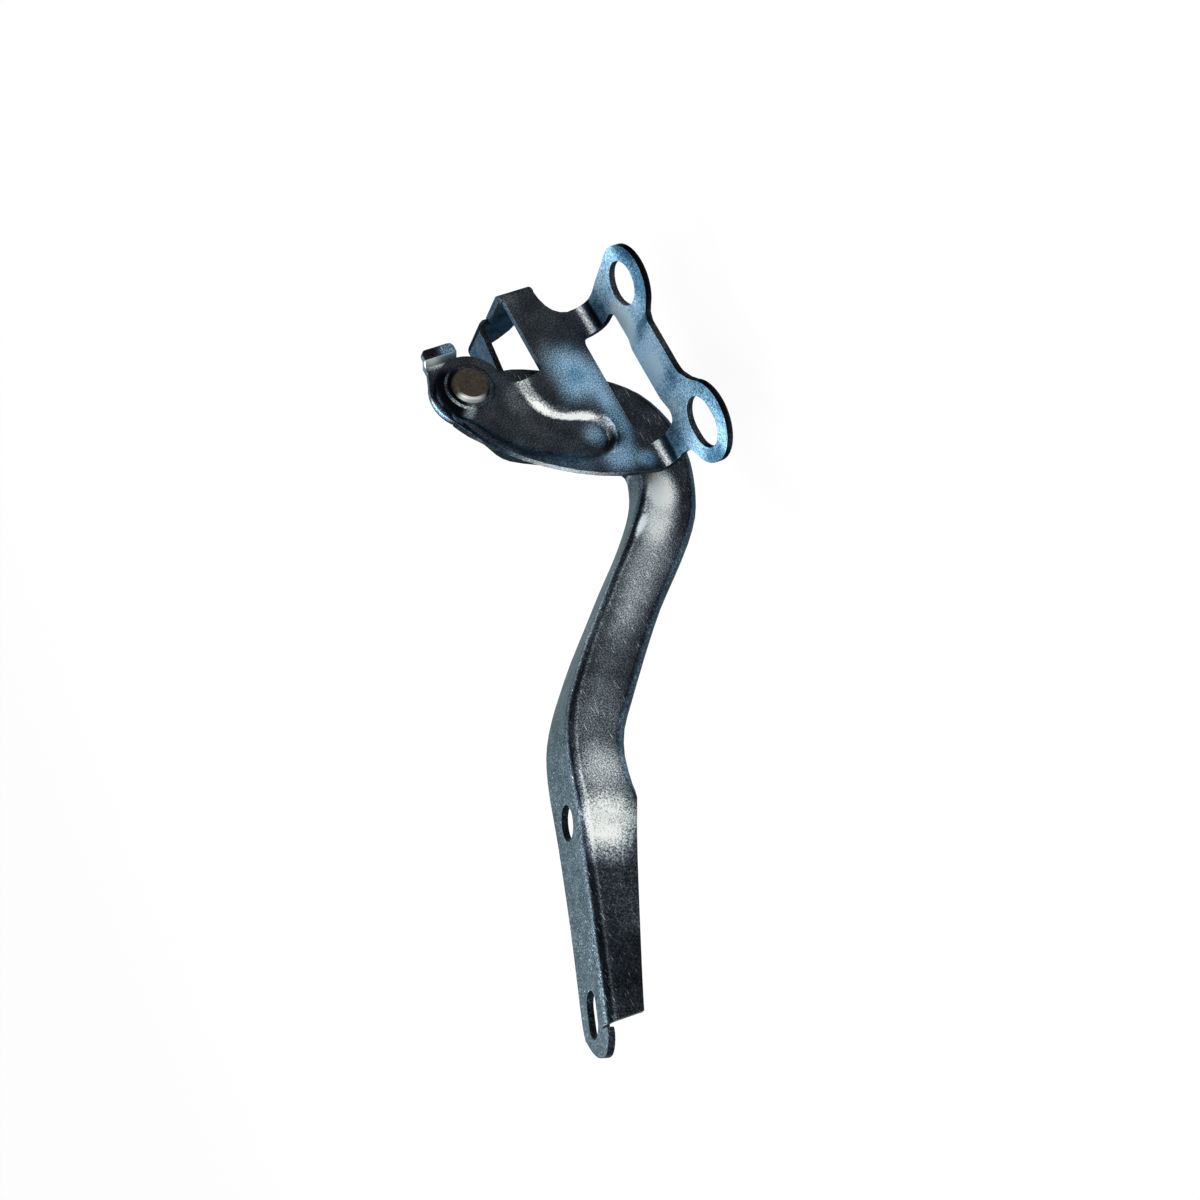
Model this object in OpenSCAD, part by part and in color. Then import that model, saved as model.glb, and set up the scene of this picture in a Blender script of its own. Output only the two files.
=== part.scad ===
// Car bonnet hinge: a pressed body bracket, a gooseneck arm, and the pivot rivet with its bush and washer.
// Millimetres. Z is up, X runs to the rear of the car, and the pivot's axis lies along Y.
// The origin is at the middle of the two body bolts, on the underside of the bolting flange.

/* [Sheet] */
// Thickness of the two pressings
sheet = 2.3; // [2:0.1:2.8]
// Inner radius of the fold between the bracket's leg and its flange
fold_r = 5.7; // [4.5:0.1:7]
// Outer radius of the arm's long edge bends
arm_bend_r = 4.2; // [3.4:0.1:5.4]

/* [Bolting flange] */
// Distance between the two body bolts
bolt_gap = 56; // [52:1:62]
// Width of the body bolt holes
bolt_hole = 15.3; // [9:0.1:16]
// Extra length of the front bolt slot
slot_extra = 2.6; // [0:0.1:4]
// Radius of the two ears round the bolts
ear_r = 14; // [13:0.1:15.5]
// Distance from the bolts to the front of the leg
leg_set = 28; // [26:0.5:31]
// Height of the pressed step between the ears
strip_rise = 0.9; // [0.4:0.1:1.6]

/* [Bracket leg] */
// Height of the pivot over the mounting face
pivot_z = 55; // [53:0.5:60]
// Distance of the pivot behind the middle of the bolts
pivot_x = 23; // [19:0.5:27]
// Radius of the round lobe at the pivot
lobe_r = 12.2; // [11:0.1:13]
// Depth of the pressed trough and lobe behind the leg's rim
trough_depth = 2.5; // [1.5:0.1:3.2]
// Depth of the rear wall behind the leg
wall_depth = 31; // [26:0.5:36]

/* [Arm] */
// Reach of the arm from the pivot to its front end
arm_reach = 216; // [180:1:260]
// Depth of the neck's side flanges
neck_depth = 14; // [10:0.5:17]
// Width of the bonnet flange
bonnet_w = 24; // [20:0.5:28]
// Width of the round bonnet bolt hole
bonnet_hole = 11.6; // [8:0.1:13]
// Width of the bonnet bolt slot
bonnet_slot_w = 9; // [7:0.1:11]
// Length of the bonnet bolt slot
bonnet_slot_l = 15; // [12:0.5:19]
// Depth of the small step in the arm's side wall
arm_step = 0.8; // [0.2:0.1:2]

/* [Pivot] */
// Width of the rivet's head
head_d = 12.4; // [11:0.1:14]
// Thickness of the rivet's head
head_h = 2; // [1.4:0.1:3]
// Width of the rivet's shank
shank_d = 8; // [6:0.1:9]
// Wall of the bush round the shank
bush_wall = 1.2; // [0.8:0.1:1.8]
// Thickness of the bush's collar between bracket and arm
collar_h = 0.7; // [0.5:0.1:1.5]
// Thickness of the rear washer
washer_h = 1.2; // [0.8:0.1:2]

/* [Hidden] */
$fn = 96;
t = sheet;
// The front faces of the rim and of the lobe, measured from the bolts
rim_y = leg_set;
lobe_y = rim_y + trough_depth;
// Everything near the pivot is drawn from the pivot on the lobe's front face
base_z = -pivot_z;
flange_top = base_z + t;
fold_z = flange_top + fold_r;
fold_y = -trough_depth - fold_r;
bolt_y = -lobe_y;
front_x = -pivot_x - bolt_gap / 2;
rear_x = -pivot_x + bolt_gap / 2;
flange_front = front_x - 0.2;
flange_rear = rear_x + 9.6;
leg_scale = fold_z / -47;
web_y = t + collar_h;
shank_r = shank_d / 2;
bush_bore = shank_r + 0.05;
bush_r = shank_r + bush_wall;
reach_scale = (arm_reach - 60) / 156;

// Heights below the pivot follow the pivot's height, so the leg always meets the fold.
function lz(p) = [p[0], p[1] < 0 ? p[1] * leg_scale : p[1]];

// A smooth curve through rows of numbers, with k steps from each row to the next
function spline(p0, p1, p2, p3, u) =
    0.5 * (2 * p1 + (p2 - p0) * u + (2 * p0 - 5 * p1 + 4 * p2 - p3) * u * u
    + (3 * p1 - 3 * p2 + p3 - p0) * u * u * u);
function smooth_rows(a, k) = let (n = len(a)) [
    for (i = [0 : n - 2])
        for (j = [0 : k - 1])
            spline(a[max(i - 1, 0)], a[i], a[i + 1], a[min(i + 2, n - 1)], j / k),
    a[n - 1]];

// A closed solid through equal rings of points, with its ends closed by pairing the ring's two halves
module skin(rings) {
    n = len(rings);
    m = len(rings[0]);
    h = m / 2;
    polyhedron(
        points = [for (r = rings) for (p = r) p],
        faces = concat(
            [for (i = [0 : n - 2]) for (j = [0 : m - 1])
                [i * m + j, (i + 1) * m + j, i * m + (j + 1) % m]],
            [for (i = [0 : n - 2]) for (j = [0 : m - 1])
                [i * m + (j + 1) % m, (i + 1) * m + j, (i + 1) * m + (j + 1) % m]],
            [for (j = [0 : h - 2]) [j, j + 1, m - 1 - j]],
            [for (j = [0 : h - 2]) [j + 1, m - 2 - j, m - 1 - j]],
            [for (j = [0 : h - 2]) [for (v = [j + 1, j, m - 1 - j]) (n - 1) * m + v]],
            [for (j = [0 : h - 2]) [for (v = [m - 2 - j, j + 1, m - 1 - j]) (n - 1) * m + v]]));
}

// A plate drawn as seen from the front, from depth y to y + h
module front_plate(y, h) {
    translate([0, y + h, 0]) {
        rotate([90, 0, 0]) {
            linear_extrude(h) {
                children();
            }
        }
    }
}

// The body bracket, pressed from one sheet

// Rows across the pressed trough: upper floor edge, upper rim, lower floor edge, lower rim
trough = [
    [20, -13, 20, -20, 17, 20, 17, 26],
    [6, -13.2, 4, -20.5, -4, 13, -7.5, 16],
    [-2, -13.6, -3.5, -21.2, -10.3, 5.4, -13.8, 7.9],
    [-9.6, -14.8, -9, -20.9, -18.5, -0.7, -22.5, 3.2],
    [-14.8, -16.2, -13.9, -22.4, -24.8, -6.3, -29.5, -2.5],
    [-19.2, -19.3, -17.6, -25.4, -29.8, -13.4, -35.1, -9.7],
    [-22, -23.7, -19.8, -29.2, -33.7, -21.1, -39, -17.6],
    [-24.1, -28.6, -21.2, -33.6, -35.9, -27.4, -41.2, -25.6],
    [-26, -32.6, -22.9, -37.2, -36.6, -31, -41.4, -31.5],
    [-28.7, -35.2, -26, -39.7, -35.4, -33.8, -39.6, -36],
    [-31, -36, -30.3, -40.7, -33.6, -35.4, -35.5, -39.7]];
shoulder = [0, 0.25, 0.5, 0.75, 1];
function press(u) = u * u * (3 - 2 * u);

// One ring of the trough, where u runs from the rim to the floor and back is the depth it is pushed back by
function trough_ring(r, back) = let (
    fu = lz([r[0], r[1]]), ru = lz([r[2], r[3]]), fl = lz([r[4], r[5]]), rl = lz([r[6], r[7]]),
    over = 0.4)
    concat(
        [at_depth(ru + (ru - fu) * over, back - trough_depth - 1.2)],
        [for (u = shoulder) at_depth(ru + (fu - ru) * u, back - trough_depth + trough_depth * press(u))],
        [for (i = [4 : -1 : 0]) let (u = shoulder[i])
            at_depth(rl + (fl - rl) * u, back - trough_depth + trough_depth * press(u))],
        [at_depth(rl + (rl - fl) * over, back - trough_depth - 1.2)]);
function at_depth(p, y) = [p[0], y, p[1]];

module trough_tool(back) {
    skin([for (r = smooth_rows(trough, 3)) turn(trough_ring(r, back))]);
}

// The leg's outline from the front, with the round lobe, the open notch and the rear corner
module leg_outline() {
    difference() {
        union() {
            translate([-0.4, -0.4]) {
                circle(r = lobe_r);
            }
            polygon([for (p = [
                [26, -26], [26, -37.7], [22.4, -38.2], [19.2, -39.2], [16.8, -40.8],
                [15.2, -43], [14.4, -45.6], [flange_rear, -47.2],
                [flange_front, -47.2], [-50.9, -45.6], [-50.3, -42.6],
                [-49.4, -38.5], [-48, -33.5], [-45.4, -26.6], [-42.2, -20], [-39, -14.6], [-35.2, -9], [-31, -3.8],
                [-26.6, 0.6], [-21.6, 4.6], [-16.6, 7.6], [-12.4, 9.4], [-9.4, 9.9], [-7, 10],
                [0, 0], [6, -8.4], [2.4, -11.8], [0, -12.9], [-2, -13.6],
                [-3.4, -15], [-4.2, -17.4], [-4.4, -20], [-3.8, -23.4], [-2.6, -26]]) lz(p)]);
        }
        circle(d = shank_d);
    }
}

module leg() {
    difference() {
        front_plate(-trough_depth, trough_depth + t) {
            leg_outline();
        }
        trough_tool(0);
        difference() {
            translate([-70, t - trough_depth, base_z - 5]) {
                cube([120, trough_depth + 5, pivot_z + 40]);
            }
            trough_tool(t);
        }
    }
}

// The fold under the leg, a true quarter round
module fold() {
    translate([flange_front, fold_y, fold_z]) {
        rotate([90, 0, 90]) {
            linear_extrude(flange_rear - flange_front) {
                difference() {
                    circle(r = fold_r + t);
                    circle(r = fold_r);
                    translate([-20, 0]) {
                        square([40, 20]);
                    }
                    translate([-20, -20]) {
                        square([20, 40]);
                    }
                }
            }
        }
    }
}

// The flange from above: two round ears joined by a strip, and the two roots at the fold
module flange_outline() {
    ear_y = bolt_y;
    difference() {
        union() {
            translate([front_x, ear_y]) {
                circle(r = ear_r);
            }
            translate([rear_x - 0.8, ear_y - 0.7]) {
                circle(r = ear_r - 0.7);
            }
            polygon([
                [rear_x + ear_r - 1.6, ear_y], [rear_x + 11.6, ear_y + 6], [rear_x + 10.6, ear_y + 14],
                [flange_rear, fold_y - 3], [flange_rear, fold_y + 0.5], [flange_front, fold_y + 0.5],
                [flange_front, fold_y - 1.5], [front_x - 1, fold_y - 4.6], [front_x - 2.2, ear_y + 14.6],
                [front_x - 4.4, ear_y + 13.2],
                [front_x - 4, ear_y],
                [front_x + 8.6, ear_y - 11], [front_x + 11, ear_y - 8.4], [front_x + 14, ear_y - 5.4],
                [front_x + 17.5, ear_y - 3.7], [front_x + 21, ear_y - 3.3],
                [rear_x - 17, ear_y - 3.3], [rear_x - 14.5, ear_y - 3.8], [rear_x - 12, ear_y - 6.9],
                [rear_x, ear_y - 8]]);
        }
    }
}

module long_hole(r, e) {
    translate([-e, 0]) {
        circle(r = r);
    }
    translate([e, 0]) {
        circle(r = r);
    }
    translate([-e, -r]) {
        square([2 * e, 2 * r]);
    }
}

// The flange's side profile, with the raised strip between the ears
module flange_profile() {
    s1 = rear_x - 13.6;
    s2 = rear_x - 17.8;
    s3 = front_x + 18.4;
    s4 = front_x + 13.4;
    polygon([
        [front_x - 30, base_z], [s4, base_z], [s3, base_z + strip_rise], [s2, base_z + strip_rise],
        [s1, base_z], [rear_x + 30, base_z],
        [rear_x + 30, flange_top], [s1, flange_top], [s2, flange_top + strip_rise],
        [s3, flange_top + strip_rise], [s4, flange_top], [front_x - 30, flange_top]]);
}

module flange() {
    intersection() {
        translate([0, 0, base_z - 2]) {
            linear_extrude(12) {
                flange_outline();
            }
        }
        front_plate(bolt_y - 40, 80) {
            flange_profile();
        }
    }
}

// The big opening across the fold: a rounded window from above and from the front at once
module window_tool() {
    x0 = front_x + 9.6;
    x1 = rear_x - 1.4;
    intersection() {
        translate([0, 0, base_z - 5]) {
            linear_extrude(40) {
                rounded_box(x0, bolt_y + 14, x1, bolt_y + 60, 3.6);
            }
        }
        front_plate(bolt_y, 60) {
            rounded_box(x0, base_z - 30, x1, fold_z + 1.5, 3.6);
        }
    }
}

module rounded_box(x0, y0, x1, y1, r) {
    translate([x0 + r, y0]) {
        square([x1 - x0 - 2 * r, y1 - y0]);
    }
    translate([x0, y0 + r]) {
        square([x1 - x0, y1 - y0 - 2 * r]);
    }
    for (x = [x0 + r, x1 - r]) {
        for (y = [y0 + r, y1 - r]) {
            translate([x, y]) {
                circle(r = r);
            }
        }
    }
}

// The rear wall runs back from the leg, and its rear half folds forward into a ledge
wall_x = 29.3;
wall_r = 1.2;
module rear_wall() {
    top = -25.4 * leg_scale;
    low = -38 * leg_scale;
    intersection() {
        translate([0, 0, low - 8]) {
            linear_extrude(30) {
                difference() {
                    union() {
                        translate([wall_x - t, -trough_depth + wall_r + t]) {
                            square([t, wall_depth]);
                        }
                        intersection() {
                            translate([wall_x - t - wall_r, -trough_depth + wall_r + t]) {
                                circle(r = wall_r + t);
                            }
                            translate([wall_x - t - wall_r, -trough_depth]) {
                                square([wall_r + t, wall_r + t]);
                            }
                        }
                    }
                    translate([wall_x - t - wall_r, -trough_depth + wall_r + t]) {
                        circle(r = wall_r);
                    }
                }
            }
        }
        rotate([90, 0, 90]) {
            linear_extrude(60) {
                polygon([
                    [-trough_depth - 1, low], [14, low], [20, low - 0.6], [24, low + 1.2], [28, low + 4.6],
                    [wall_depth, low + 8.4], [wall_depth + 8, low + 12], [wall_depth + 8, top + 1.4],
                    [14.6, top + 1.4], [14.6, top - 1.2], [14.2, top - 1.6], [13.8, top - 1.2], [13.8, top],
                    [-trough_depth - 1, top]]);
            }
        }
    }
}

module ledge() {
    top = -21 * leg_scale;
    bend = 1.8;
    far = wall_depth - 1.5;
    // the bend over the wall
    translate([0, 14.6, 0]) {
        intersection() {
            translate([wall_x - t - bend, 0, top - t - bend]) {
                rotate([-90, 0, 0]) {
                    linear_extrude(far - 12) {
                        difference() {
                            circle(r = bend + t);
                            circle(r = bend);
                            translate([-20, 0]) {
                                square([40, 20]);
                            }
                            translate([-20, -20]) {
                                square([20, 40]);
                            }
                        }
                    }
                }
            }
            translate([-10, 0, top - 10]) {
                cube([60, far - 14.6, 20]);
            }
        }
    }
    // the ledge's own plate, rounded at its far front corner
    translate([0, 0, top - t]) {
        linear_extrude(t) {
            polygon([
                [wall_x - t - bend + 0.3, 14.6], [22, 14.6], [7, 17.8], [6, 18.6], [5.6, 20], [5.6, 24],
                [6.4, 26.6], [8.2, 28.4], [10.6, 29.3], [14, far], [wall_x - t - bend + 0.3, far]]);
        }
    }
    translate([wall_x - t, 14.6, top - t - bend - 3.2]) {
        cube([t, far - 14.6, 3.3]);
    }
}

// The shallow pad pressed forward round the rivet
module rivet_pad() {
    rotate([90, 0, 0]) {
        difference() {
            translate([0, 0, -0.5]) {
                cylinder(r1 = 9.4, r2 = 8, h = 1.1);
            }
            translate([0, 0, -2]) {
                cylinder(d = shank_d, h = 6);
            }
        }
    }
}

module bracket() {
    color([0.55, 0.62, 0.68]) {
        translate([pivot_x, lobe_y, pivot_z]) {
            difference() {
                union() {
                    leg();
                    fold();
                    flange();
                    rear_wall();
                    ledge();
                    rivet_pad();
                }
                window_tool();
                translate([rear_x, bolt_y, base_z - 2]) {
                    cylinder(d = bolt_hole, h = 12);
                }
                translate([front_x, bolt_y, base_z - 2]) {
                    linear_extrude(12) {
                        long_hole(bolt_hole / 2, slot_extra / 2);
                    }
                }
            }
        }
    }
}

// The gooseneck arm, a channel pressed from one sheet

// Rows along the arm: top edge x and z, bottom edge x and z, share of full flange at top and at bottom,
// and the depth of the top flange over the neck's
rows = [
    [-9, 9.8, 4, -11.6, 0.03, 0.03, 0, 0],
    [-14.5, 6.6, 3, -18.6, 0.03, 0.03, 0, 0],
    [-18.7, 2.4, 0.6, -27, 0.1, 0.45, 0, 0],
    [-21.6, -2, -3.4, -36.4, 0.5, 0.85, 0, 0],
    [-23.8, -7.5, -7.6, -45, 0.85, 1, 0, 0],
    [-27.4, -16.5, -12.8, -52.6, 1, 1, 0, 0],
    [-31, -25, -19.6, -59.2, 1, 1, 0, 0],
    [-34.6, -33.5, -28, -63.2, 1, 1, 0, 0],
    [-38.4, -41, -36, -64.8, 1, 1, 0, 0],
    [-43, -43.9, -43, -64.6, 1, 1, 0, 0],
    [-48, -42.6, -49.2, -63.6, 1, 1, 0, 0],
    [-53.4, -39.7, -55.8, -61.3, 1, 1, 0, 0],
    [-58.8, -35.3, -62, -58.4, 1, 1, 0, 0],
    [-64.2, -30, -68.8, -54.2, 1, 1, 0.5, 0],
    [-69.6, -24.2, -76.6, -46.8, 1, 1, 1.5, 0],
    [-77.2, -15.2, -85.4, -36.4, 1, 1, 2.5, 0],
    [-86, -5.4, -94, -25.8, 1, 1, 4, 0],
    [-95.6, 5.4, -103.6, -15.6, 1, 1, 5.2, 0],
    [-103.4, 13.2, -112, -7.2, 1, 1, 7, 0],
    [-110.4, 19.6, -120, 0.6, 1, 1, 8.8, 0],
    [-117.4, 24.8, -127.3, 7.4, 1, 1, 10.2, 0],
    [-124.4, 28.5, -135.4, 11.8, 1, 1, 10.8, 0],
    [-132.6, 31.6, -144.4, 14.2, 1, 0.9, 11.6, 0],
    [-140.6, 34.1, -149.4, 16.2, 1, 0.03, 12, 0.1],
    [-150, 37.3, -156.4, 20, 1, 0.03, 11.6, 0.75],
    [-160.6, 41.5, -166.4, 25.4, 1, 0.03, 10.4, 1],
    [-176, 47.5, -181.4, 33.2, 1, 0.03, 9.7, 1],
    [-192, 53.8, -195.8, 40.6, 1, 0.03, 9.8, 1],
    [-203.4, 58.3, -205.5, 45.5, 1, 0.03, 9.8, 1],
    [-208.4, 60.3, -209.8, 47.6, 1, 0.03, 8.4, 1]];
flange_angle = atan2(60.3 - 41.5, 208.4 - 160.6);

function unit(v) = v / norm(v);
function stretch(p) = p[0] < -60 ? [-60 + (p[0] + 60) * reach_scale, -35 + (p[1] + 35) * reach_scale] : p;
arc = [0, 18, 36, 54, 72, 90];

// Half of a section: the flange and the bend, drawn as [distance in from the edge, depth]
function half_outer(f, d) = let (ro = 0.3 + (arm_bend_r - 0.3) * f)
    concat([[0, d]], [for (a = arc) [ro * (1 - cos(a)), ro * (1 - sin(a))]]);
function half_inner(f, d) = let (ri = 0.2 + (max(arm_bend_r - t, 0.6) - 0.2) * f, th = t * (0.25 + 0.75 * f))
    concat([[th, d]], [for (a = arc) [th + ri * (1 - cos(a)), t + ri * (1 - sin(a))]]);
function share(f) = min(max(f, 0.03), 1);
function turn(a) = [for (i = [len(a) - 1 : -1 : 0]) a[i]];

function arm_ring(r) = let (
    top = stretch([r[0], r[1]]), low = stretch([r[2], r[3]]), across = unit(low - top), w = norm(low - top),
    y = web_y + arm_step * min(max(r[7], 0), 1),
    ft = share(r[4]),
    fb = share(r[5]),
    dt = t + 0.06 + (neck_depth - t) * ft + max(r[6], 0) * (bonnet_w - neck_depth) / 10,
    db = t + 0.06 + (neck_depth - t) * fb,
    outer = concat(half_outer(ft, dt), turn([for (p = half_outer(fb, db)) [w - p[0], p[1]]])),
    inner = concat(half_inner(ft, dt), turn([for (p = half_inner(fb, db)) [w - p[0], p[1]]])))
    [for (p = concat(outer, turn(inner)))
        let (q = top + across * p[0]) [q[0], y + p[1], q[1]]];

module arm_channel() {
    skin([for (r = smooth_rows(rows, 2)) turn(arm_ring(r))]);
}

// The rounded end of the bonnet flange, which runs on past the side wall
end_top = stretch([-208.4, 60.3]);
module bonnet_end() {
    translate([end_top[0], web_y + arm_step, end_top[1]]) {
        rotate([0, flange_angle, 0]) {
            translate([0, 0, -t + 0.02]) {
                linear_extrude(t - 0.04) {
                    polygon([for (p = [
                        [6, 4.4], [-0.6, 4.4], [-0.8, 1], [-1.6, 0.5], [-2.8, 0.4], [-4.6, 0.9], [-6.1, 1.8],
                        [-7.4, 3.2], [-8.3, 4.9], [-8.5, 7.2], [-8.1, 9.9], [-7.4, 12.2], [-6.3, 14.4],
                        [-4.8, 16.8], [-2.8, 19.2], [-1, 21.2], [0.8, 22.4], [3, 23.2],
                        [6, 23.6]]) [p[0], p[1] * bonnet_w / 24]]);
                }
            }
        }
    }
}

// A hole square to the bonnet flange at a distance back from its front end
module bonnet_bolt(back, r, e) {
    translate([end_top[0], web_y + arm_step, end_top[1]]) {
        rotate([0, flange_angle, 0]) {
            translate([back, bonnet_w / 2 + 1, -8]) {
                linear_extrude(16) {
                    long_hole(r, e);
                }
            }
        }
    }
}

// The flat pad round the pivot, and the tail that steps forward into the lobe's plane
pad_r = 13.2;
module pad() {
    front_plate(web_y, t) {
        circle(r = pad_r);
        polygon([
            [-9, 9.6], [-4, 12.6], [3, 12.8], [lobe_r + 0.6, 9], [lobe_r + 0.6, -2], [10.6, -8], [4.4, -12.4],
            [0, -10], [-8, 0]]);
    }
    intersection() {
        translate([0, 0, -3]) {
            linear_extrude(14) {
                polygon([
                    [8, web_y], [lobe_r + 0.4, web_y], [lobe_r + 2, 0.1], [17.6, 0.1], [18.2, 0.7],
                    [18.2, t + 0.1], [lobe_r + 3, t + 0.1], [lobe_r + 1.4, web_y + t], [8, web_y + t]]);
            }
        }
        front_plate(-1, 9) {
            rounded_box(2, -2.2, 18.2, 9.8, 2.2);
        }
    }
}

module arm() {
    color([0.5, 0.56, 0.6]) {
        translate([pivot_x, lobe_y, pivot_z]) {
            difference() {
                union() {
                    arm_channel();
                    pad();
                    bonnet_end();
                }
                rotate([-90, 0, 0]) {
                    cylinder(r = bush_r, h = 40);
                }
                bonnet_bolt(6, bonnet_slot_w / 2, (bonnet_slot_l - bonnet_slot_w) / 2);
                bonnet_bolt(67.6 * reach_scale, bonnet_hole / 2, 0.01);
            }
        }
    }
}

// The pivot's turned pieces

// A profile of radius and depth, turned about the pivot's axis
module turned(points) {
    translate([pivot_x, lobe_y, pivot_z]) {
        rotate([-90, 0, 0]) {
            rotate_extrude() {
                polygon(points);
            }
        }
    }
}

pad_front = -0.6;
stack = web_y + t;
module rivet() {
    color([0.3, 0.28, 0.24]) {
        turned([
            [0, pad_front - head_h], [head_d / 2 - 0.9, pad_front - head_h],
            [head_d / 2 - 0.25, pad_front - head_h + 0.5], [head_d / 2 + 0.5, pad_front], [shank_r, pad_front],
            [shank_r, stack + washer_h], [shank_r + 2.6, stack + washer_h],
            [shank_r + 1.9, stack + washer_h + 1.6], [0, stack + washer_h + 1.9]]);
    }
}

module bush() {
    color([0.62, 0.5, 0.3]) {
        turned([
            [bush_bore, t], [bush_r + 3.4, t], [bush_r + 3.4, web_y], [bush_r, web_y],
            [bush_r, stack], [bush_bore, stack]]);
    }
}

module washer() {
    color([0.45, 0.47, 0.5]) {
        turned([[shank_r, stack], [shank_r + 5, stack], [shank_r + 5, stack + washer_h], [shank_r, stack + washer_h]]);
    }
}

bracket();
arm();
rivet();
bush();
washer();
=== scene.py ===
import bpy
import bmesh
import math
from mathutils import Matrix, Vector


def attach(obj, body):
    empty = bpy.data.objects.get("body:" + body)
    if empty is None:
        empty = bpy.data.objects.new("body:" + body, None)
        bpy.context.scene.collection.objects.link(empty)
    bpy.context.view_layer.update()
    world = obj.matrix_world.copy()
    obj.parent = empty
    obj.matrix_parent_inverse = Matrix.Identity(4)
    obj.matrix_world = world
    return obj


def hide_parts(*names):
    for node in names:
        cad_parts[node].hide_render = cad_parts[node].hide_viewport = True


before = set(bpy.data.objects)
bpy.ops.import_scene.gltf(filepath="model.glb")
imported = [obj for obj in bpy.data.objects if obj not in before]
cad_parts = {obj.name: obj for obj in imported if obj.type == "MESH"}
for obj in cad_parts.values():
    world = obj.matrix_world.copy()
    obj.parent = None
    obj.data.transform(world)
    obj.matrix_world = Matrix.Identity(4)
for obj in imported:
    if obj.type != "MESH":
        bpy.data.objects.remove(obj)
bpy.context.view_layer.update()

scene = bpy.context.scene

# The photographer's camera: a plain 66 mm lens held over the hinge, turned so that the arm hangs down
# the frame. Its place and its turn were fitted to the outlines and the holes of the pressings.
camera_place = (-0.25304, -0.57931, 0.36585)
frame_back = Vector((-0.2672, -0.8562, 0.4422)).normalized()
frame_right = Vector((-0.4656, -0.2870, -0.8372)).normalized()
frame_up = frame_back.cross(frame_right).normalized()
frame_right = frame_up.cross(frame_back).normalized()
camera = bpy.data.objects.new("camera", bpy.data.cameras.new("camera"))
scene.collection.objects.link(camera)
scene.camera = camera
camera.data.lens = 66
camera.data.sensor_width = 36
camera.data.clip_start = 0.01
camera_turn = Matrix((frame_right, frame_up, frame_back)).transposed().to_4x4()
camera.matrix_world = Matrix.Translation(camera_place) @ camera_turn


# Plain studio light: a white room for the metal to mirror with a softer fill for matt faces, a broad lamp
# from above the pivot that gives the bends their glint, and a top lamp behind, so that the flanges that
# face up stay bright beside the leg.
def colour(code):
    parts = [int(code[i:i + 2], 16) / 255 for i in (1, 3, 5)]
    return [c / 12.92 if c <= 0.04045 else ((c + 0.055) / 1.055) ** 2.4 for c in parts] + [1.0]


def add(tree, kind, put=None, join=None, stops=None, **settings):
    made = tree.nodes.new(kind)
    for name, value in settings.items():
        setattr(made, name, value)
    for name, value in (put or {}).items():
        made.inputs[name].default_value = value
    for name, socket in (join or {}).items():
        tree.links.new(socket, made.inputs[name])
    for i, (at, tone) in enumerate(stops or []):
        band = made.color_ramp.elements
        stop = band[i] if i < 2 else band.new(at)
        stop.position = at
        stop.color = tone
    return made


def seen_as_white(tree):
    path = add(tree, "ShaderNodeLightPath")
    mirrored = add(tree, "ShaderNodeMath", operation="MAXIMUM",
                   join={0: path.outputs["Is Camera Ray"], 1: path.outputs["Is Glossy Ray"]})
    return add(tree, "ShaderNodeMath", operation="MAXIMUM",
               join={0: mirrored.outputs[0], 1: path.outputs["Is Transmission Ray"]}).outputs[0]


def soft_lamp(name, width, watts, place, aim):
    lamp = bpy.data.objects.new(name, bpy.data.lights.new(name, "AREA"))
    scene.collection.objects.link(lamp)
    lamp.data.size = width
    lamp.data.energy = watts
    lamp.location = place
    lamp.rotation_euler = (Vector(aim) - lamp.location).to_track_quat("-Z", "Y").to_euler()


fill_strength = 0.75
scene.world = bpy.data.worlds.new("white room")
scene.world.use_nodes = True
room = scene.world.node_tree
room.nodes.clear()
strength = add(room, "ShaderNodeMapRange", put={"To Min": fill_strength, "To Max": 1.0},
               join={"Value": seen_as_white(room)})
light = add(room, "ShaderNodeBackground", put={"Color": colour("#ffffff")},
            join={"Strength": strength.outputs[0]})
add(room, "ShaderNodeOutputWorld", join={"Surface": light.outputs[0]})
soft_lamp("broad lamp", width=0.5, watts=3.0, place=(-0.35, -0.5, 0.8), aim=(-0.05, 0.03, 0.05))
soft_lamp("top lamp", width=0.55, watts=6.0, place=(0.08, 0.5, 0.75), aim=(0.0, 0.0, 0.0))

# The pale floor: a wide sheet of matt paper, just under the lowest place that the arm reaches with the
# bonnet shut. It is white to the camera and to the metal, and keeps a faint shadow.
floor_level = -0.0235
floor_reach = 3.0
glow_share = 0.93  # how much of its white is its own light, which leaves the rest to the shadow
floor_mesh = bpy.data.meshes.new("floor")
floor_mesh.from_pydata([(x * floor_reach, y * floor_reach, floor_level)
                        for x, y in ((-1, -1), (1, -1), (1, 1), (-1, 1))], [], [(0, 1, 2, 3)])
floor = bpy.data.objects.new("floor", floor_mesh)
scene.collection.objects.link(floor)
paper = bpy.data.materials.new("white paper")
paper.use_nodes = True
sheet = paper.node_tree
sheet.nodes.clear()
matt = add(sheet, "ShaderNodeBsdfDiffuse", put={"Color": colour("#f9f9f9")})
glow = add(sheet, "ShaderNodeEmission", put={"Color": colour("#ffffff"), "Strength": 1.0})
share = add(sheet, "ShaderNodeMath", operation="MULTIPLY", put={1: glow_share},
            join={0: seen_as_white(sheet)})
both = add(sheet, "ShaderNodeMixShader",
           join={0: share.outputs[0], 1: matt.outputs[0], 2: glow.outputs[0]})
add(sheet, "ShaderNodeOutputMaterial", join={"Surface": both.outputs[0]})
floor_mesh.materials.append(paper)
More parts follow.
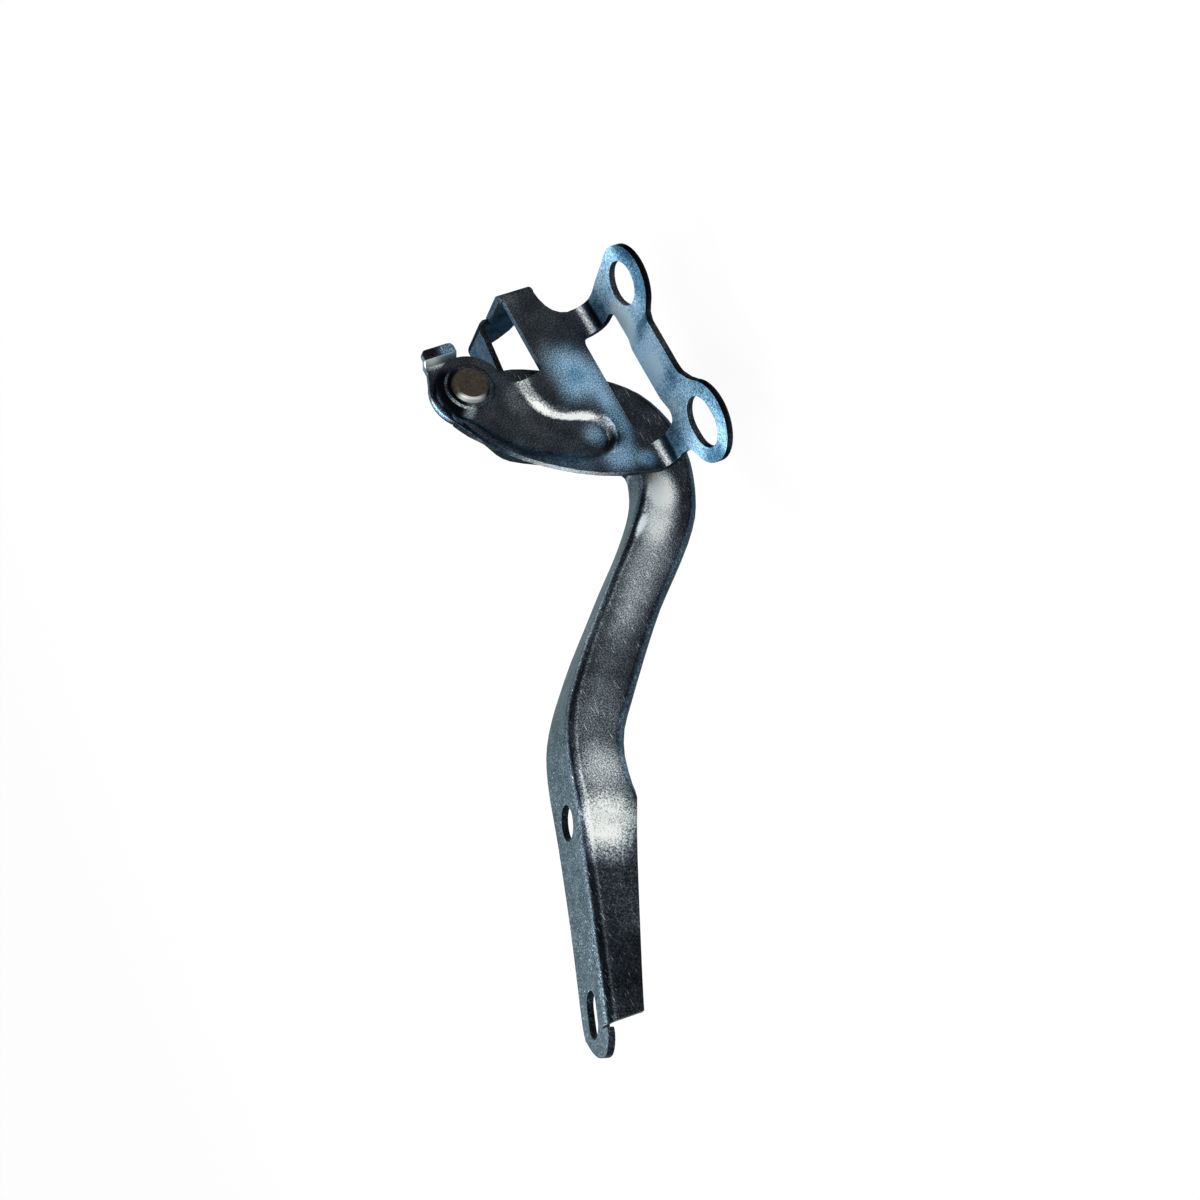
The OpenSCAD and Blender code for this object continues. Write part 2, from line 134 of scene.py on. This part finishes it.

# The body bracket: one steel sheet, cut, pressed with its trough and lobe, folded and zinc plated. Its
# reflections are
# painted into its colour: its ears are painted palest, and its leg dark with a painted blue bloom beside the
# trough.

# Bright blue zinc plating on rolled steel sheet is a mirror-like metal film. Here what it mirrors is painted
# into its
# colour: each face is painted dark or bright by the way it is turned, with soft painted highlights and
# painted shade, fine grain and a painted glint along the cut edges. These are its painted reflection tones,
# from the darkest to the brightest, plain and through the blue film.
plain_tones = [(0.0, "#08090b"), (0.14, "#1b1d20"), (0.3, "#3b3f43"),
               (0.5, "#6f7577"), (0.75, "#b5bab9"), (1.0, "#f6f6f1")]
blue_tones = [(0.0, "#080d12"), (0.14, "#162431"), (0.3, "#2d4c62"),
              (0.5, "#5585a5"), (0.75, "#93c3e0"), (1.0, "#d0e9f7")]

# Pattern sizes in millimetres. The real grain is about a tenth of a millimetre and a real scratch is finer
# still, so both are drawn as coarse as they need to show.
grain_width = 0.5
grain_depth = 0.2
cloud_width = 6.25
scratch_size = (4.4, 1.1, 0.28)
edge_round_width = 0.3


def soft_patch(tree, place, middle, radii, lean):
    # an ellipsoid in millimetres, turned about the Y axis by its lean: 1 within a quarter of its radii, and
    # faded to 0 at a quarter more than them
    put = {"Location": [v / 1000 for v in middle], "Rotation": (0, math.radians(lean), 0),
           "Scale": [v / 1000 for v in radii]}
    inside = add(tree, "ShaderNodeMapping", vector_type="TEXTURE", put=put, join={"Vector": place})
    away = add(tree, "ShaderNodeVectorMath", operation="LENGTH", join={0: inside.outputs[0]})
    return add(tree, "ShaderNodeMapRange", interpolation_type="SMOOTHSTEP",
               put={"From Min": 1.25, "From Max": 0.25}, join={"Value": away.outputs["Value"]}).outputs[0]


def scratched_film(tree, place, bright, share):
    # two families of handling scratches that cross each other
    for turn in (32, -50):
        along = add(tree, "ShaderNodeMapping", join={"Vector": place},
                    put={"Rotation": (0, math.radians(turn), 0),
                         "Scale": [1000 / size for size in scratch_size]})
        mark = add(tree, "ShaderNodeTexNoise", join={"Vector": along.outputs[0]},
                   put={"Scale": 1.0, "Detail": 1.0})
        mark = add(tree, "ShaderNodeMapRange", join={"Value": mark.outputs["Fac"]},
                   put={"From Min": 0.7, "From Max": 0.78, "To Min": 0.0, "To Max": share})
        bright = add(tree, "ShaderNodeMath", operation="ADD", join={0: bright, 1: mark.outputs[0]}).outputs[0]
    return bright


def zinc(name, facing, bright_by_facing, blue_by_facing, patches, glints, sheen, grainy, scratched=0.0,
         painted_edge_shade=0.0):
    made = bpy.data.materials.new(name)
    made.use_nodes = True
    tree = made.node_tree
    tree.nodes.clear()
    where = add(tree, "ShaderNodeTexCoord")
    place, normal = where.outputs["Object"], where.outputs["Normal"]

    # the tilt is 1 on a face turned the way that facing says, a half on one at right angles to it
    tilt = add(tree, "ShaderNodeVectorMath", operation="DOT_PRODUCT", put={1: facing}, join={0: normal})
    tilt = add(tree, "ShaderNodeMapRange", put={"From Min": -1.0, "From Max": 1.0},
               join={"Value": tilt.outputs["Value"]}).outputs[0]
    # painted reflection: each face's brightness and blue, read off its tilt
    bright, blue = [add(tree, "ShaderNodeValToRGB", join={"Fac": tilt},
                        stops=[(at, (grey, grey, grey, 1)) for at, grey in by_facing]).outputs["Color"]
                    for by_facing in (bright_by_facing, blue_by_facing)]
    if painted_edge_shade:
        # painted shade: cut edges that face up from 5 to 8 mm over the mounting face are painted darker and
        # greyer than the flange
        height = add(tree, "ShaderNodeSeparateXYZ", join={"Vector": place}).outputs["Z"]
        above = add(tree, "ShaderNodeMapRange", join={"Value": height},
                    put={"From Min": 0.005, "From Max": 0.008})
        level = add(tree, "ShaderNodeMapRange", join={"Value": tilt},
                    put={"From Min": 0.93, "From Max": 0.99})
        edge_up = add(tree, "ShaderNodeMath", operation="MULTIPLY",
                      join={0: above.outputs[0], 1: level.outputs[0]}).outputs[0]
        bright, blue = [add(tree, "ShaderNodeMath", operation="MULTIPLY_ADD", put={1: -less},
                            join={0: edge_up, 2: tone}).outputs[0]
                        for tone, less in ((bright, painted_edge_shade), (blue, 0.5))]
    # each patch adds a painted highlight or painted shade, and painted blue
    for middle, radii, lean, brighter, bluer in patches:
        patch = soft_patch(tree, place, middle, radii, lean)
        bright = add(tree, "ShaderNodeMath", operation="MULTIPLY_ADD", put={1: brighter},
                     join={0: patch, 2: bright}).outputs[0]
        if bluer:
            blue = add(tree, "ShaderNodeMath", operation="MULTIPLY_ADD", put={1: bluer},
                       join={0: patch, 2: blue}).outputs[0]
    # each glint adds a painted highlight on faces turned its way
    for towards, narrow, middle, radii, lean, brighter in glints:
        turned = add(tree, "ShaderNodeVectorMath", operation="DOT_PRODUCT", join={0: normal},
                     put={1: Vector(towards).normalized()}).outputs["Value"]
        lit = add(tree, "ShaderNodeMapRange", interpolation_type="SMOOTHSTEP", join={"Value": turned},
                  put={"From Min": narrow, "From Max": 0.995}).outputs[0]
        lit = add(tree, "ShaderNodeMath", operation="MULTIPLY",
                  join={0: lit, 1: soft_patch(tree, place, middle, radii, lean)}).outputs[0]
        bright = add(tree, "ShaderNodeMath", operation="MULTIPLY_ADD", put={1: brighter},
                     join={0: lit, 2: bright}).outputs[0]

    # the rolled grain stands out where the film is bright and drowns where it is dark
    grain = add(tree, "ShaderNodeTexNoise", join={"Vector": place},
                put={"Scale": 1000 / grain_width, "Detail": 3.0, "Roughness": 0.75})
    grain = add(tree, "ShaderNodeMapRange", join={"Value": grain.outputs["Fac"]},
                put={"From Min": 0.3, "From Max": 0.7, "To Min": -0.5, "To Max": 0.5}).outputs[0]
    grain_share = add(tree, "ShaderNodeMapRange", join={"Value": bright},
                      put={"From Min": 0.1, "From Max": 0.6,
                           "To Min": 0.2 * grainy, "To Max": 0.7 * grainy})
    bright = add(tree, "ShaderNodeMath", operation="MULTIPLY_ADD",
                 join={0: grain, 1: grain_share.outputs[0], 2: bright}).outputs[0]
    cloud = add(tree, "ShaderNodeTexNoise", join={"Vector": place},
                put={"Scale": 1000 / cloud_width, "Detail": 3.0})
    cloud = add(tree, "ShaderNodeMapRange", join={"Value": cloud.outputs["Fac"]},
                put={"From Min": 0.3, "From Max": 0.7, "To Min": -0.05, "To Max": 0.05})
    bright = add(tree, "ShaderNodeMath", operation="ADD", join={0: bright, 1: cloud.outputs[0]}).outputs[0]
    if scratched:
        bright = scratched_film(tree, place, bright, scratched)

    # a painted glint along every cut edge, where the bevelled normal leaves the face's own; the same bevel
    # rounds the edges in the shading
    edge = add(tree, "ShaderNodeBevel", samples=6, put={"Radius": edge_round_width / 1000})
    face = add(tree, "ShaderNodeNewGeometry")
    turned_away = add(tree, "ShaderNodeVectorMath", operation="DOT_PRODUCT",
                      join={0: face.outputs["Normal"], 1: edge.outputs[0]}).outputs["Value"]
    painted_edge_glint = add(tree, "ShaderNodeMapRange", join={"Value": turned_away},
                 put={"From Min": 0.98, "From Max": 0.8, "To Min": 0.0, "To Max": 0.12})
    bright = add(tree, "ShaderNodeMath", operation="ADD", use_clamp=True,
                 join={0: bright, 1: painted_edge_glint.outputs[0]}).outputs[0]

    plain, tinted = [add(tree, "ShaderNodeValToRGB", join={"Fac": bright},
                         stops=[(at, colour(code)) for at, code in tones]).outputs["Color"]
                     for tones in (plain_tones, blue_tones)]
    film = add(tree, "ShaderNodeMix", data_type="RGBA", join={0: blue, 6: plain, 7: tinted})
    dimple = add(tree, "ShaderNodeBump", put={"Strength": 0.12, "Distance": grain_depth / 1000},
                 join={"Height": grain, "Normal": edge.outputs[0]})
    rough = add(tree, "ShaderNodeMapRange", join={"Value": grain},
                put={"From Min": -0.5, "From Max": 0.5, "To Min": 0.4, "To Max": 0.5})
    metal = add(tree, "ShaderNodeBsdfPrincipled", put={"Metallic": 1.0, "Specular Tint": colour(sheen)},
                join={"Base Color": film.outputs[2], "Roughness": rough.outputs[0],
                      "Normal": dimple.outputs[0]})
    add(tree, "ShaderNodeOutputMaterial", join={"Surface": metal.outputs[0]})
    return made


# Faces that meet at less than this angle belong to one bend, and points this near are one point.
bend_angle = math.radians(28)
same_place = 2e-6


def even_normals(mesh):
    # every flat face keeps its own true normal up to its edge, and only the bends between are shaded round
    shape = bmesh.new()
    shape.from_mesh(mesh)
    shape.faces.ensure_lookup_table()
    flat_area = {}
    for first in shape.faces:
        if first.index in flat_area:
            continue
        flat_area[first.index] = 0.0
        group, reached = [first], 0
        while reached < len(group):
            for edge in group[reached].edges:
                for near in edge.link_faces:
                    if near.index not in flat_area and near.normal.dot(first.normal) > 0.99999:
                        flat_area[near.index] = 0.0
                        group.append(near)
            reached += 1
        total = sum(face.calc_area() for face in group)
        for face in group:
            flat_area[face.index] = total
    normals = []
    for face in shape.faces:
        for corner in face.loops:
            mean = Vector()
            for near in corner.vert.link_faces:
                if near.normal.dot(face.normal) > math.cos(bend_angle):
                    mean += near.normal * flat_area[near.index]
            normals.append(mean.normalized() if mean.length > 0 else face.normal)
    shape.free()
    mesh.normals_split_custom_set(normals)


def dressed(node, body, material):
    # a merged copy of the node's own mesh, smooth round its bends, carries the finish in its place
    shape = bmesh.new()
    shape.from_mesh(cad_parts[node].data)
    bmesh.ops.remove_doubles(shape, verts=shape.verts, dist=same_place)
    bmesh.ops.dissolve_degenerate(shape, edges=shape.edges, dist=same_place / 2)
    for face in shape.faces:
        face.smooth = True
    for line in shape.edges:
        line.smooth = len(line.link_faces) == 2 and line.calc_face_angle(0.0) < bend_angle
    mesh = bpy.data.meshes.new(node + "_plated")
    shape.to_mesh(mesh)
    shape.free()
    even_normals(mesh)
    mesh.materials.clear()
    mesh.materials.append(material)
    piece = bpy.data.objects.new(node + "_plated", mesh)
    scene.collection.objects.link(piece)
    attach(piece, body)
    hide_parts(node)


# The bracket's painted reflection, bright and blue, by the tilt of each face to the sky: the leg stands at
# 0.5, a painted glint on the fold at 0.77 with painted dark above that, and the flange lies at 1.
bracket_bright = [(0.0, 0.2), (0.42, 0.2), (0.5, 0.22), (0.56, 0.23), (0.64, 0.3), (0.7, 0.62), (0.77, 0.78),
                  (0.82, 0.6), (0.88, 0.2), (0.93, 0.1), (0.97, 0.17), (0.985, 0.45), (0.993, 0.62),
                  (1.0, 0.7)]
bracket_blue = [(0.0, 0.6), (0.42, 0.3), (0.5, 0.06), (0.6, 0.05),
                (0.8, 0.05), (0.9, 0.4), (0.96, 0.8), (1.0, 0.9)]

# Each patch is a painted highlight or painted shade in place of what the metal mirrors: its middle and radii
# in millimetres, its lean in degrees, and how much brighter and bluer it is painted. The leg's front face is
# at y 28, the floor of its trough and lobe at y 30.5, the flange's top at z 2.3.
leg_patches = [
    ((14, 28, 17.5), (15.5, 3, 10.5), -30, 0.48, 0.75),  # the blue bloom between the trough and the window
    ((13.7, 28, 19), (4, 3, 4), 0, -0.16, 0.1),  # its darker heart
    ((8, 28, 25), (6, 2, 5), 0, 0.15, 0.3),  # its edge along the trough
    ((-5, 28, 13), (12, 3, 4.6), 0, 0.32, 0.6),  # the strip under the trough
    ((-19, 28, 19), (7, 3, 8.5), 0, 0.42, 0.6),  # round the trough's blind end
    ((-23, 28, 10.5), (4, 2.5, 4), 0, 0.3, 0.6),  # over the front end of the fold
    ((-9, 29.3, 19), (8, 1.8, 8), 0, -0.3, 0.0),  # the dark wall of the blind end
    ((-12.5, 29.1, 19), (4, 1.3, 6.5), 0, -0.42, 0.0),  # its darkest side
    ((-7.5, 31.3, 21.8), (6.5, 1.4, 6.2), 0, 0.6, 0.7),  # the blue floor of the blind end
    ((5, 31.5, 36), (20, 1.6, 16), 0, 0.03, -0.1),  # the trough's floor
    ((13, 29.4, 38), (4, 2, 3), 0, -0.15, 0.0),  # the dark start of the trough's upper wall
    ((13, 30.5, 42), (7, 2, 5), 0, 0.13, 0.0),  # a paler wash on the floor beside it
    ((14.4, 30.5, 59.5), (5, 1.2, 2.5), 50, 0.3, 0.1),  # the light beside the rivet's head
    ((20.5, 29.9, 63.2), (9, 2.2, 5), 0, -0.3, 0.0),  # the dark top of the lobe
    ((27.5, 29.9, 61), (5, 2.2, 5.5), 0, -0.35, 0.0),  # the dark rear of the lobe
    ((48, 28, 27), (6, 3, 5), 0, 0.07, 0.0),  # the rear corner
    ((-14, 28, 36), (10, 3, 12), 0, 0.08, 0.3)]  # the front rim
wall_patches = [((50, 47, 24), (2.5, 12, 9), 0, -0.06, 0.5)]
flange_patches = [
    ((3, 5, 3), (10, 9, 3), 0, 0.2, 0.0),  # the raised strip
    ((11, 4, 3), (3.6, 11, 3), 0, -0.2, 0.0),  # the step at its rear end
    ((-9, 6.7, 3), (4.6, 12, 3), 0, -0.25, 0.0),  # the step at its front end
    ((31, 21, 2.5), (12, 5.5, 3), 0, -0.2, 0.0),  # the rear root, by the fold
    ((-24, 19, 2.5), (8, 6, 3), 0, -0.2, 0.0),  # the front root, by the fold
    ((-40, 4, 2.3), (7, 10, 3), 0, -0.36, 0.0),  # the front ear's outer side, under the top lamp
    ((0, -24, 2.3), (70, 21, 3), 0, -0.36, 0.0),  # the outer half of both ears, likewise
    ((36, -12, 2.3), (10, 8, 3), 0, -0.3, 0.0),  # the rear ear's outer side, likewise
    ((18, 12, 2.5), (12, 8, 3), 0, 0.52, 0.1),  # by the window, where the flange mirrors the dark leg
    ((20, -8, 2.3), (9, 7, 3), 0, -0.14, 0.0),  # where the rear ear meets the strip
    ((-5, 11, 3), (14, 9, 3), 0, 0.33, 0.1)]  # the strip along the window, which mirrors the leg too

# Each glint is a painted highlight: the way that its face is turned, the cosine at which it starts, its
# middle, radii and lean, and how much brighter it is painted.
trough_glints = [((-0.4, -0.84, 0.32), 0.88, (6, 30.3, 32), (19, 1.35, 15), 0, 0.65),
                 ((-0.56, -0.79, 0.22), 0.93, (1, 29.8, 23), (8, 1.4, 8), 0, 0.8)]
bracket_zinc = zinc("blue zinc on the bracket", (0, 0, 1), bracket_bright, bracket_blue,
                    leg_patches + wall_patches + flange_patches, trough_glints, sheen="#aab3b8", grainy=1.2,
                    painted_edge_shade=0.45)
dressed("bracket", "body_bracket", bracket_zinc)

# The gooseneck arm: one steel sheet pressed into a channel and zinc plated. Its reflections are painted into
# its colour: its long bonnet flange is painted even slate, and its side wall painted bright where it swings
# round a bend and nearly black between, where it is also scratched.

# The arm's painted reflection, bright and blue, by the tilt of each face to the bonnet flange's own
# direction: the side wall stands at 0.5, a painted glint on the long bend at 0.62 with painted dark above
# that, and the flange lies at 1.
bonnet_flange_way = (0.5, 0, 0.866)
arm_bright = [(0.0, 0.25), (0.1, 0.25), (0.24, 0.28), (0.42, 0.12), (0.5, 0.2), (0.56, 0.23), (0.62, 0.34),
              (0.68, 0.22), (0.75, 0.07), (0.87, 0.07), (0.94, 0.4), (0.975, 0.32), (1.0, 0.32)]
arm_blue = [(0.0, 0.5), (0.3, 0.4), (0.46, 0.2), (0.5, 0.1),
            (0.7, 0.1), (0.85, 0.25), (0.95, 0.25), (1.0, 0.27)]

# The side wall's front face is at y 33.5. These patches too are painted highlights and painted shade.
neck_patches = [
    ((-31, 33.5, 9), (9, 3, 7), 0, 0.76, 0.0),  # the bright wall of the gooseneck's bend
    ((-41, 33.5, 14), (14, 3, 7), 42, 0.58, 0.0),  # on round the bend
    ((-58, 33.5, 30.5), (28, 3, 7.5), 48, 0.36, 0.0),  # fading along the neck
    ((-64, 35.2, 50), (32, 1.8, 4.5), 48, 0.2, 0.0),  # the neck's long upper bend
    ((-57, 33.5, 18.5), (14, 2, 4), 48, 0.1, 0.0),  # the neck's lower bend
    ((-76, 33.5, 51), (19, 3, 8), 48, 0.12, 0.0),  # the middle of the neck
    ((-99, 33.5, 71), (20, 3, 10), 40, 0.2, 0.0),  # the neck's end
    ((-42.6, 33.6, 22.3), (5.5, 1.6, 1.5), 50, 0.7, 0.2)]  # the streak where the small step dies out
knee_patches = [
    ((-116, 33.5, 78), (12, 3, 11), 25, 0.42, 0.0),  # the light gathers towards the knee
    ((-129, 33.8, 84), (9, 3, 13), 25, 0.72, 0.0),  # the white flash across it
    ((-136, 34.2, 88), (7, 3, 9), 25, 0.4, 0.0),  # and out along the side wall
    ((-158, 33.8, 93), (8, 3, 9), 25, 0.06, 0.0),  # a little light on the dark side wall beyond
    ((-172, 33.8, 100), (18, 3, 14), 25, -0.08, 0.0)]  # its darkest end
tail_patches = [
    ((38, 30.6, 55.5), (4.5, 2, 4), 0, 0.25, 0.6),  # the tail's lower part, bluish
    ((35.5, 32.0, 60), (2.2, 1.7, 9), 0, 1.6, 0.0),  # the white line down the tail's step
    ((39.5, 30.6, 61.5), (3, 1.5, 3), 0, -0.1, 0.0),  # the tail's face, a little darker
    ((18, 33.5, 67.6), (8, 2, 2.2), -12, 0.5, 0.7)]  # the pad's top edge over the lobe
arm_glints = [((-0.82, -0.57, 0), 0.75, (35.5, 32, 62), (9, 5, 10), 0, 1.2),
              ((0.12, -0.9, 0.42), 0.93, (-123, 34.5, 86), (24, 4, 13), 28, 0.2)]
arm_zinc = zinc("blue zinc on the arm", bonnet_flange_way, arm_bright, arm_blue,
                neck_patches + knee_patches + tail_patches, arm_glints, sheen="#cad8d6", grainy=1.35,
                scratched=0.4)
dressed("arm", "bonnet_arm", arm_zinc)


# The pivot rivet: headed from plain steel wire, set through both sheets and clenched behind. Without plating
# its head is dull and brown grey, with a soft painted highlight on one side of its rim.
def dull_metal(name, pale, dark, rough, glint):
    made = bpy.data.materials.new(name)
    made.use_nodes = True
    tree = made.node_tree
    tree.nodes.clear()
    where = add(tree, "ShaderNodeTexCoord")
    # millimetres: the mottle of bare metal, and the rim that handling rounds
    mottle_width = 1.1
    mottle_depth = 0.2
    rim_width = 0.4
    mottle = add(tree, "ShaderNodeTexNoise", join={"Vector": where.outputs["Object"]},
                 put={"Scale": 1000 / mottle_width, "Detail": 4.0, "Roughness": 0.65}).outputs["Fac"]
    tone = add(tree, "ShaderNodeValToRGB", join={"Fac": mottle},
               stops=[(0.3, colour(dark)), (0.7, colour(pale))])
    # a painted highlight: faces turned towards lit_side are mixed towards a pale grey, up to glint
    lit_side = (-0.9, -0.25, 0.35)
    turned = add(tree, "ShaderNodeVectorMath", operation="DOT_PRODUCT", put={1: lit_side},
                 join={0: where.outputs["Normal"]}).outputs["Value"]
    lit = add(tree, "ShaderNodeMapRange", interpolation_type="SMOOTHSTEP", join={"Value": turned},
              put={"From Min": 0.55, "From Max": 0.9, "To Min": 0.0, "To Max": glint}).outputs[0]
    mixed = add(tree, "ShaderNodeMix", data_type="RGBA", put={7: colour("#e6ebee")},
                join={0: lit, 6: tone.outputs["Color"]})
    edge = add(tree, "ShaderNodeBevel", samples=4, put={"Radius": rim_width / 1000})
    dimple = add(tree, "ShaderNodeBump", put={"Strength": 0.25, "Distance": mottle_depth / 1000},
                 join={"Height": mottle, "Normal": edge.outputs[0]})
    metal = add(tree, "ShaderNodeBsdfPrincipled", put={"Metallic": 1.0, "Roughness": rough},
                join={"Base Color": mixed.outputs[2], "Normal": dimple.outputs[0]})
    add(tree, "ShaderNodeOutputMaterial", join={"Surface": metal.outputs[0]})
    return made


rivet_steel = dull_metal("dull rivet steel", pale="#4b463c", dark="#2e2a25", rough=0.5, glint=0.8)
dressed("rivet", "body_bracket", rivet_steel)

# The washer: stamped from sheet steel and zinc plated, it lies under the rivet's clenched end behind the arm.
# It is the greyest and the smoothest of the small pieces.
washer_zinc = dull_metal("zinc washer", pale="#7d8990", dark="#4d565c", rough=0.4, glint=0.3)
dressed("washer", "body_bracket", washer_zinc)

# The bush: pressed and sintered from bronze powder, then pushed into the arm, with a collar that keeps the
# two sheets apart. Bronze powder gives it a dull brown yellow.
bush_bronze = dull_metal("sintered bronze", pale="#8b7145", dark="#5d4a2c", rough=0.5, glint=0.3)
dressed("bush", "bonnet_arm", bush_bronze)

scene.view_settings.view_transform = "Standard"
